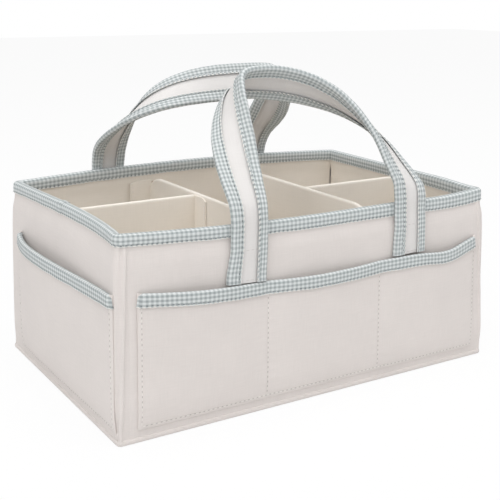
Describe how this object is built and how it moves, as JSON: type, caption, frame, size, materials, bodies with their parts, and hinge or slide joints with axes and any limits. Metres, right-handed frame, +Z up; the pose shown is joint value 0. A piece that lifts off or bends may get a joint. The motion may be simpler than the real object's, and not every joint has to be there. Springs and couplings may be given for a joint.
{
  "type": "diaper caddy",
  "caption": "Soft-sided rectangular caddy with outside pockets, movable inner dividers and a pair of padded strap handles that swing at the rim.",
  "frame": {"origin": "on the floor under the middle of the base", "axes": "+Z up, X along the length, the front wall faces -Y"},
  "size_m": [0.4092, 0.2652, 0.2777],
  "materials": {
    "canvas": "off-white plain-weave cotton canvas",
    "lining": "warm beige plain-weave lining canvas",
    "checked": "cotton binding tape in a small grey-green and white gingham check",
    "strap": "off-white canvas over thin wadding",
    "board": "grey-brown stiff pulp board, hidden inside the cloth"
  },
  "bodies": {
    "shell": {"base_welt": "canvas", "base_panel": "canvas", "base_board": "board", "base_lining": "lining", "corner_welt_front_left": "canvas", "corner_welt_front_right": "canvas", "corner_welt_back_right": "canvas", "corner_welt_back_left": "canvas", "front_panel": "canvas", "front_board": "board", "front_lining": "lining", "front_rim_binding": "checked", "front_pocket": "canvas", "front_pocket_binding": "checked", "back_panel": "canvas", "back_board": "board", "back_lining": "lining", "back_rim_binding": "checked", "back_pocket": "canvas", "back_pocket_binding": "checked", "left_panel": "canvas", "left_board": "board", "left_lining": "lining", "left_rim_binding": "checked", "left_pocket": "canvas", "left_pocket_binding": "checked", "right_panel": "canvas", "right_board": "board", "right_lining": "lining", "right_rim_binding": "checked", "right_pocket": "canvas", "right_pocket_binding": "checked", "front_handle_first_end_strap": "strap", "front_handle_second_end_strap": "strap", "front_handle_first_end_outer_binding": "checked", "front_handle_second_end_outer_binding": "checked", "front_handle_first_end_inner_binding": "checked", "front_handle_second_end_inner_binding": "checked", "back_handle_first_end_strap": "strap", "back_handle_second_end_strap": "strap", "back_handle_first_end_outer_binding": "checked", "back_handle_second_end_outer_binding": "checked", "back_handle_first_end_inner_binding": "checked", "back_handle_second_end_inner_binding": "checked"},
    "front_handle": {"front_handle_strap": "strap", "front_handle_outer_binding": "checked", "front_handle_inner_binding": "checked"},
    "back_handle": {"back_handle_strap": "strap", "back_handle_outer_binding": "checked", "back_handle_inner_binding": "checked"},
    "left_cross_divider": {"left_cross_divider_cover": "lining", "left_cross_divider_board": "board"},
    "right_cross_divider": {"right_cross_divider_cover": "lining", "right_cross_divider_board": "board"},
    "left_short_divider": {"left_short_divider_cover": "lining", "left_short_divider_board": "board"},
    "right_short_divider": {"right_short_divider_cover": "lining", "right_short_divider_board": "board"}
  },
  "joints": [
    {"name": "front_handle_swing", "type": "hinge", "parent": "shell", "child": "front_handle", "pos_m": [0.0105, -0.1233, 0.16515], "axis": [1, 0, 0], "range_deg": [-15, 170]},
    {"name": "back_handle_swing", "type": "hinge", "parent": "shell", "child": "back_handle", "pos_m": [-0.0045, 0.1233, 0.16515], "axis": [-1, 0, 0], "range_deg": [-15, 170]},
    {"name": "left_cross_divider_slide", "type": "slide", "parent": "shell", "child": "left_cross_divider", "axis": [1, 0, 0], "range_m": [0, 0.045]},
    {"name": "right_cross_divider_slide", "type": "slide", "parent": "shell", "child": "right_cross_divider", "axis": [-1, 0, 0], "range_m": [0, 0.045]},
    {"name": "left_short_divider_slide", "type": "slide", "parent": "shell", "child": "left_short_divider", "axis": [0, 1, 0], "range_m": [-0.1, 0.085]},
    {"name": "right_short_divider_slide", "type": "slide", "parent": "shell", "child": "right_short_divider", "axis": [0, 1, 0], "range_m": [-0.075, 0.105]}
  ]
}
